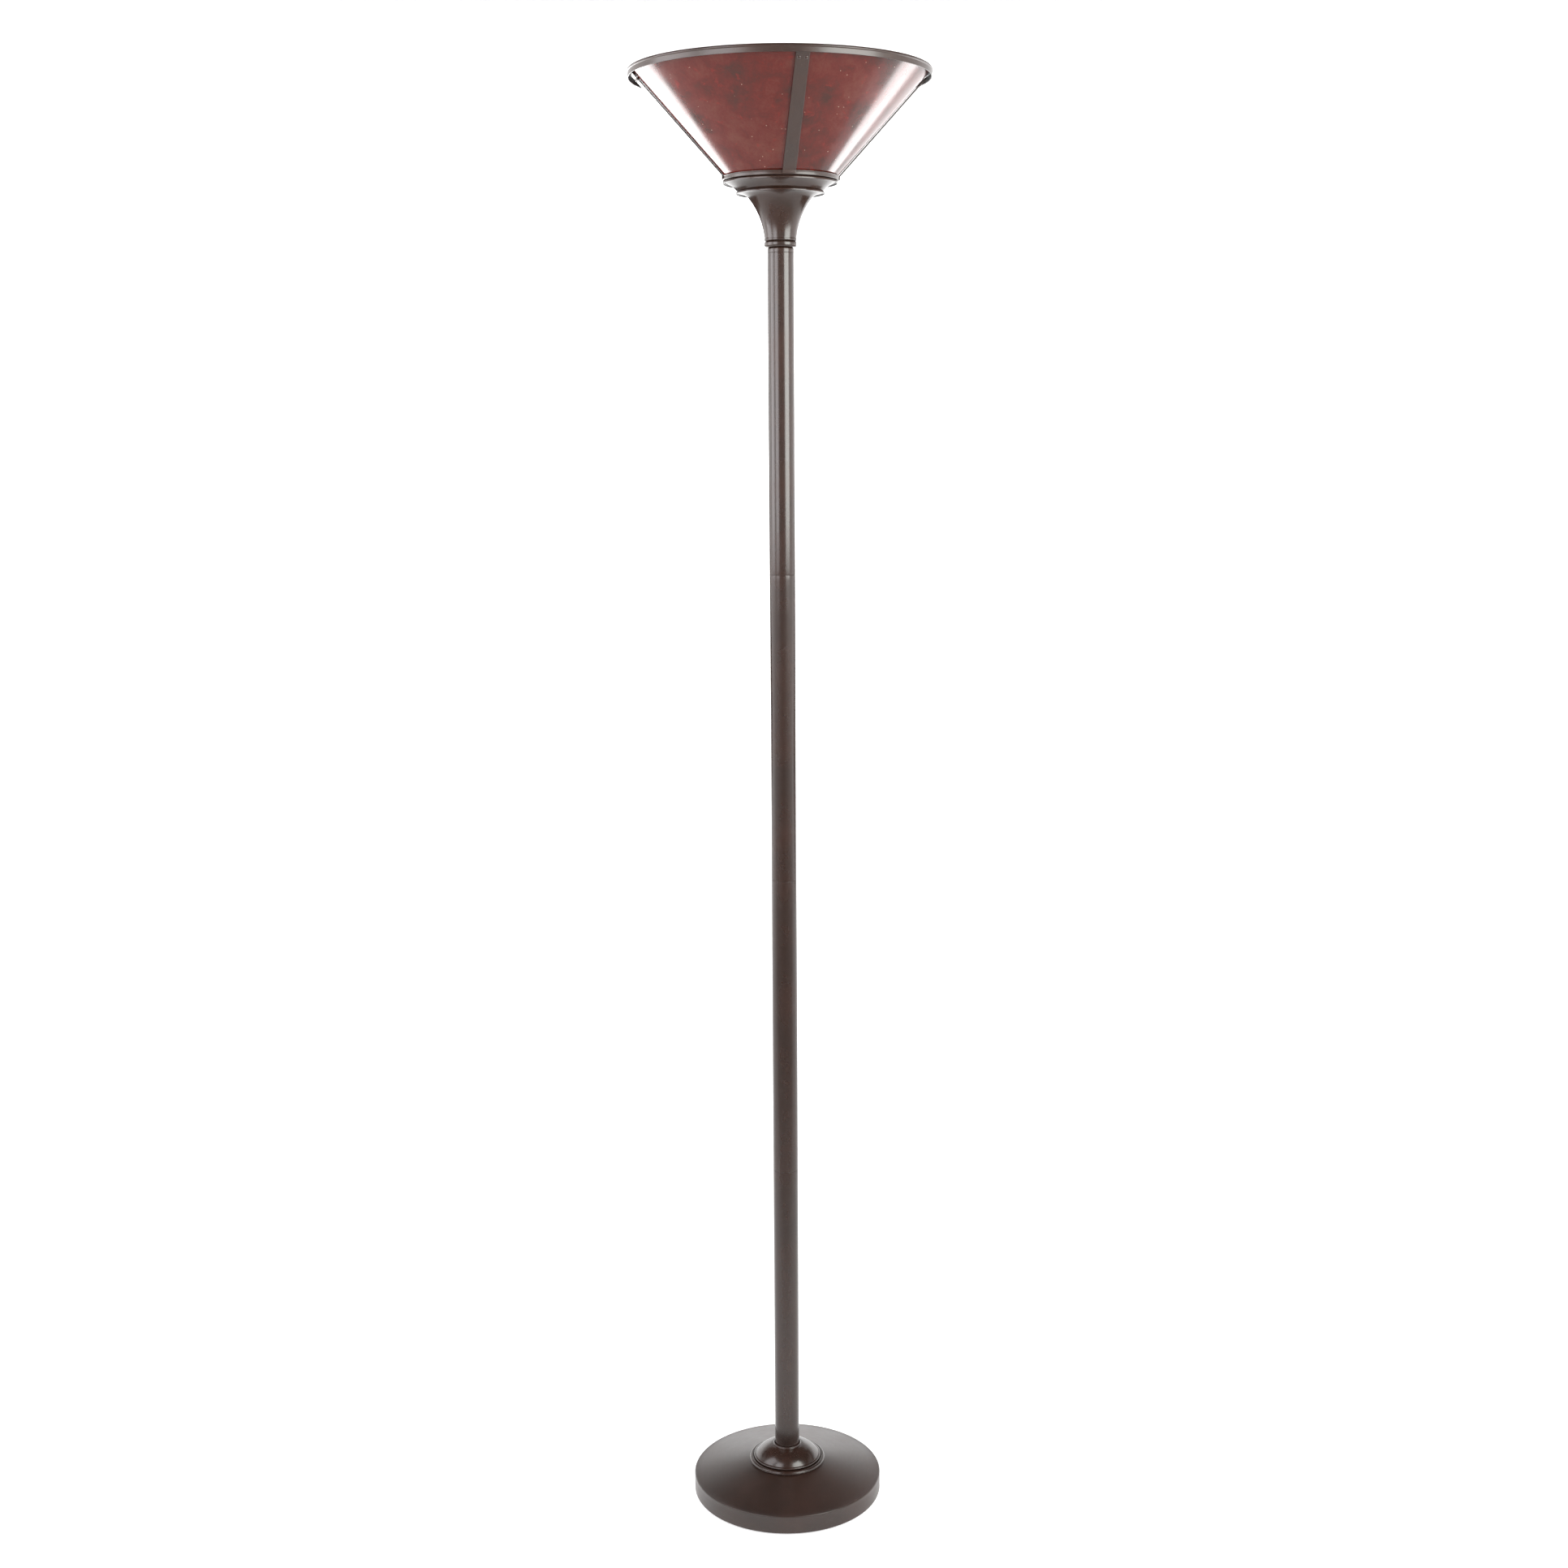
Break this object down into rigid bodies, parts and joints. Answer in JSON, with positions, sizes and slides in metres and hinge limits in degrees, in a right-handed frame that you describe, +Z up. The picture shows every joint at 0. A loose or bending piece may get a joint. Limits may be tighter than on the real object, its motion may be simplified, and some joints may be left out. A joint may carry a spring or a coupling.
{
  "type": "torchiere floor lamp",
  "caption": "Torchiere floor lamp: weighted round base, slim pole, flared neck and dish, and a wide conical mica shade with metal straps, open at the top.",
  "frame": {"origin": "on the floor under the axis of the pole", "axes": "+Z up along the pole; the front of the lamp faces -Y"},
  "size_m": [0.3582, 0.3582, 1.8],
  "materials": {
    "felt": "dark needle felt",
    "bronze_base": "satin dark bronze lacquer",
    "bronze_pole": "satin dark bronze lacquer",
    "bronze_neck": "satin dark bronze lacquer",
    "bronze_shade": "satin dark bronze lacquer",
    "cast_iron": "rough grey casting",
    "zinc_steel": "zinc plated",
    "black_plastic": "moulded black rubber",
    "brass": "drawn brass",
    "insulating_card": "fibre insulating sleeve",
    "phenolic": "dark phenolic moulding",
    "frosted_glass": "inside-frosted white glass",
    "bulb_metal": "rolled aluminium",
    "bulb_glaze": "black vitrite",
    "mica": "polished shellac-bonded mica sheet",
    "wire_jacket": "brown vinyl insulation"
  },
  "bodies": {
    "stand": {"base_felt": "felt", "base_cover": "bronze_base", "base_bead": "bronze_base", "base_dome": "bronze_base", "base_weight": "cast_iron", "base_nipple": "zinc_steel", "base_washer": "zinc_steel", "base_nut": "zinc_steel", "neck_nipple": "zinc_steel", "dish_washer": "zinc_steel", "dish_nut": "zinc_steel", "pole_coupling_1": "zinc_steel", "pole_coupling_2": "zinc_steel", "pole_coupling_3": "zinc_steel", "pole_foot": "zinc_steel", "cord_bushing": "black_plastic", "pole_tube_1": "bronze_pole", "pole_tube_2": "bronze_pole", "pole_tube_3": "bronze_pole", "pole_tube_4": "bronze_pole", "pole_top_cap": "bronze_pole", "neck_bead": "bronze_neck", "neck_bell": "bronze_neck", "shade_dish": "bronze_neck", "socket_cap": "brass", "socket_shell": "brass", "screw_shell": "brass", "centre_contact": "brass", "terminal_screws": "brass", "socket_liner": "insulating_card", "switch_body": "phenolic", "lamp_wire": "wire_jacket"},
    "shade": {"shade_rim": "bronze_shade", "shade_ring": "bronze_shade", "shade_strap_1": "bronze_shade", "shade_strap_2": "bronze_shade", "shade_strap_3": "bronze_shade", "shade_strap_4": "bronze_shade", "mica_panel_1": "mica", "mica_panel_2": "mica", "mica_panel_3": "mica", "mica_panel_4": "mica", "panel_rivets": "bronze_shade"},
    "bulb": {"bulb_contact": "bulb_metal", "bulb_insulator": "bulb_glaze", "bulb_cap": "bulb_metal", "bulb_glass": "frosted_glass"},
    "switch": {"switch_stem": "brass", "switch_knob": "phenolic"}
  },
  "joints": [
    {"name": "shade_lift", "type": "slide", "parent": "stand", "child": "shade", "axis": [0, 0, 1], "range_m": [0, 0.25]},
    {"name": "bulb_lift", "type": "slide", "parent": "stand", "child": "bulb", "axis": [0, 0, 1], "range_m": [0, 0.15]},
    {"name": "switch_turn", "type": "hinge", "parent": "stand", "child": "switch", "pos_m": [0.025, 0, 1.6846], "axis": [1, 0, 0], "continuous": true}
  ]
}
